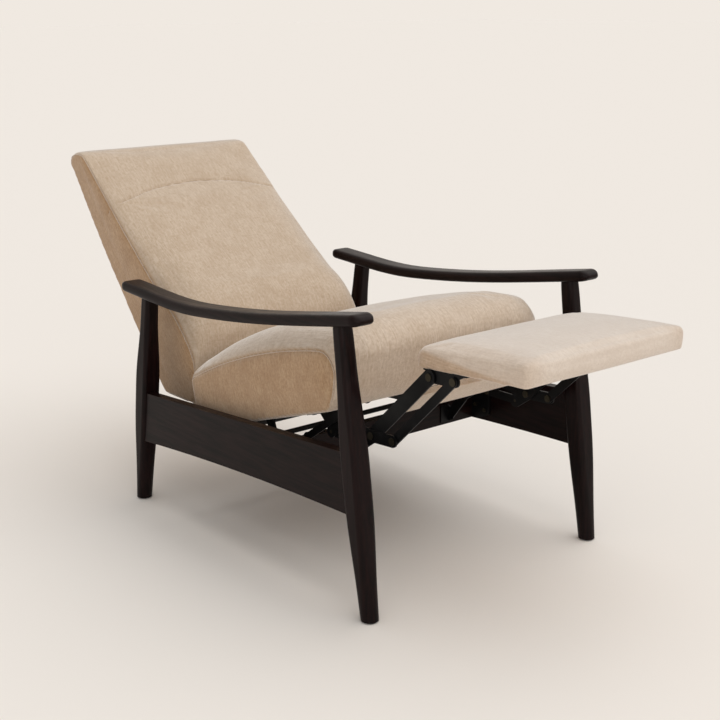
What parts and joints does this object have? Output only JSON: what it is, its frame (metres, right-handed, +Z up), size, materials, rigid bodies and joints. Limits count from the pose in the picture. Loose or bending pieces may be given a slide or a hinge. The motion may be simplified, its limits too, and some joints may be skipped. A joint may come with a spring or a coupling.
{
  "type": "recliner",
  "caption": "Recliner with a dark wooden frame, curved arms and tapered legs, shown reclined with its linkage footrest out",
  "frame": {"origin": "centre of the footprint's bounding box, on the floor", "axes": "+X across to the sitter's left, -Y to the front, +Z up"},
  "size_m": [0.704, 1.6415, 0.8281],
  "materials": {
    "upholstery": "soft mottled chenille",
    "dark_wood": "espresso stain, satin",
    "inner_wood": "plain sawn",
    "webbing": "woven strap",
    "steel": "black, satin",
    "glide": "plain"
  },
  "bodies": {
    "back": {"back_bottom_rail": "inner_wood", "back_cushion": "upholstery", "back_rear_panel": "upholstery", "back_top_rail": "inner_wood", "back_webbing": "webbing", "left_back_post": "inner_wood", "left_hinge_plate": "steel", "right_back_post": "inner_wood", "right_hinge_plate": "steel"},
    "base": {"base_plate_screws": "steel", "cross_member": "dark_wood", "foot_glides": "glide", "left_arm": "dark_wood", "left_base_plate": "steel", "left_drive_bracket": "steel", "left_front_leg": "dark_wood", "left_rear_leg": "dark_wood", "left_side_rail": "dark_wood", "leg_dowels": "inner_wood", "rear_pivot_tube": "steel", "rear_stretcher": "dark_wood", "right_arm": "dark_wood", "right_base_plate": "steel", "right_drive_bracket": "steel", "right_front_leg": "dark_wood", "right_rear_leg": "dark_wood", "right_side_rail": "dark_wood"},
    "upper_links": {"bridge_panel": "upholstery", "left_upper_link": "steel", "right_upper_link": "steel", "tie_rivets": "steel"},
    "footrest": {"footrest_board": "inner_wood", "footrest_cushion": "upholstery", "footrest_rivets": "steel", "left_footrest_bracket": "steel", "right_footrest_bracket": "steel"},
    "seat": {"guide_rod": "steel", "left_guide_hanger": "steel", "left_rear_hanger": "steel", "left_seat_plate": "steel", "left_seat_rail": "inner_wood", "right_guide_hanger": "steel", "right_rear_hanger": "steel", "right_seat_plate": "steel", "right_seat_rail": "inner_wood", "seat_cushion": "upholstery", "seat_front_rail": "inner_wood", "seat_plate_rivets": "steel", "seat_plate_screws": "steel", "seat_rear_rail": "inner_wood", "seat_webbing": "webbing"},
    "drive_links": {"left_drive_link": "steel", "right_drive_link": "steel"},
    "lower_links": {"left_lower_link": "steel", "lower_link_rivets": "steel", "right_lower_link": "steel"},
    "second_lower_links": {"left_second_lower_link": "steel", "right_second_lower_link": "steel"},
    "second_upper_links": {"left_second_upper_link": "steel", "right_second_upper_link": "steel"}
  },
  "joints": [
    {"name": "seat_tilt", "type": "hinge", "parent": "base", "child": "seat", "pos_m": [0, 0.1953, 0.198], "axis": [1, 0, 0], "range_deg": [0, 8]},
    {"name": "back_recline", "type": "hinge", "parent": "seat", "child": "back", "pos_m": [0, 0.2523, 0.325], "axis": [1, 0, 0], "range_deg": [0, 22]},
    {"name": "lower_link_swing", "type": "hinge", "parent": "seat", "child": "lower_links", "pos_m": [0, -0.3047, 0.3535], "axis": [1, 0, 0], "range_deg": [0, 85.87]},
    {"name": "second_lower_link_swing", "type": "hinge", "parent": "seat", "child": "second_lower_links", "pos_m": [0, -0.2667, 0.321], "axis": [1, 0, 0], "range_deg": [0, 83.71]},
    {"name": "upper_link_swing", "type": "hinge", "parent": "lower_links", "child": "upper_links", "pos_m": [0, -0.3947, 0.344], "axis": [1, 0, 0], "range_deg": [-107.53, 0]},
    {"name": "second_upper_link_swing", "type": "hinge", "parent": "lower_links", "child": "second_upper_links", "pos_m": [0, -0.4617, 0.349], "axis": [1, 0, 0], "range_deg": [-107.54, 0]},
    {"name": "footrest_swing", "type": "hinge", "parent": "upper_links", "child": "footrest", "pos_m": [0, -0.5647, 0.506], "axis": [1, 0, 0], "range_deg": [0, 107.94]},
    {"name": "drive_link_swing", "type": "hinge", "parent": "base", "child": "drive_links", "pos_m": [0, -0.1822, 0.286], "axis": [1, 0, 0], "range_deg": [0, 41.8]}
  ],
  "couplings": [
    {"joint": "lower_link_swing", "follows": "seat_tilt", "ratio": 10.734},
    {"joint": "second_lower_link_swing", "follows": "seat_tilt", "ratio": 10.464},
    {"joint": "upper_link_swing", "follows": "seat_tilt", "ratio": -13.441},
    {"joint": "second_upper_link_swing", "follows": "seat_tilt", "ratio": -13.443},
    {"joint": "footrest_swing", "follows": "seat_tilt", "ratio": 13.492},
    {"joint": "drive_link_swing", "follows": "seat_tilt", "ratio": 5.225}
  ]
}
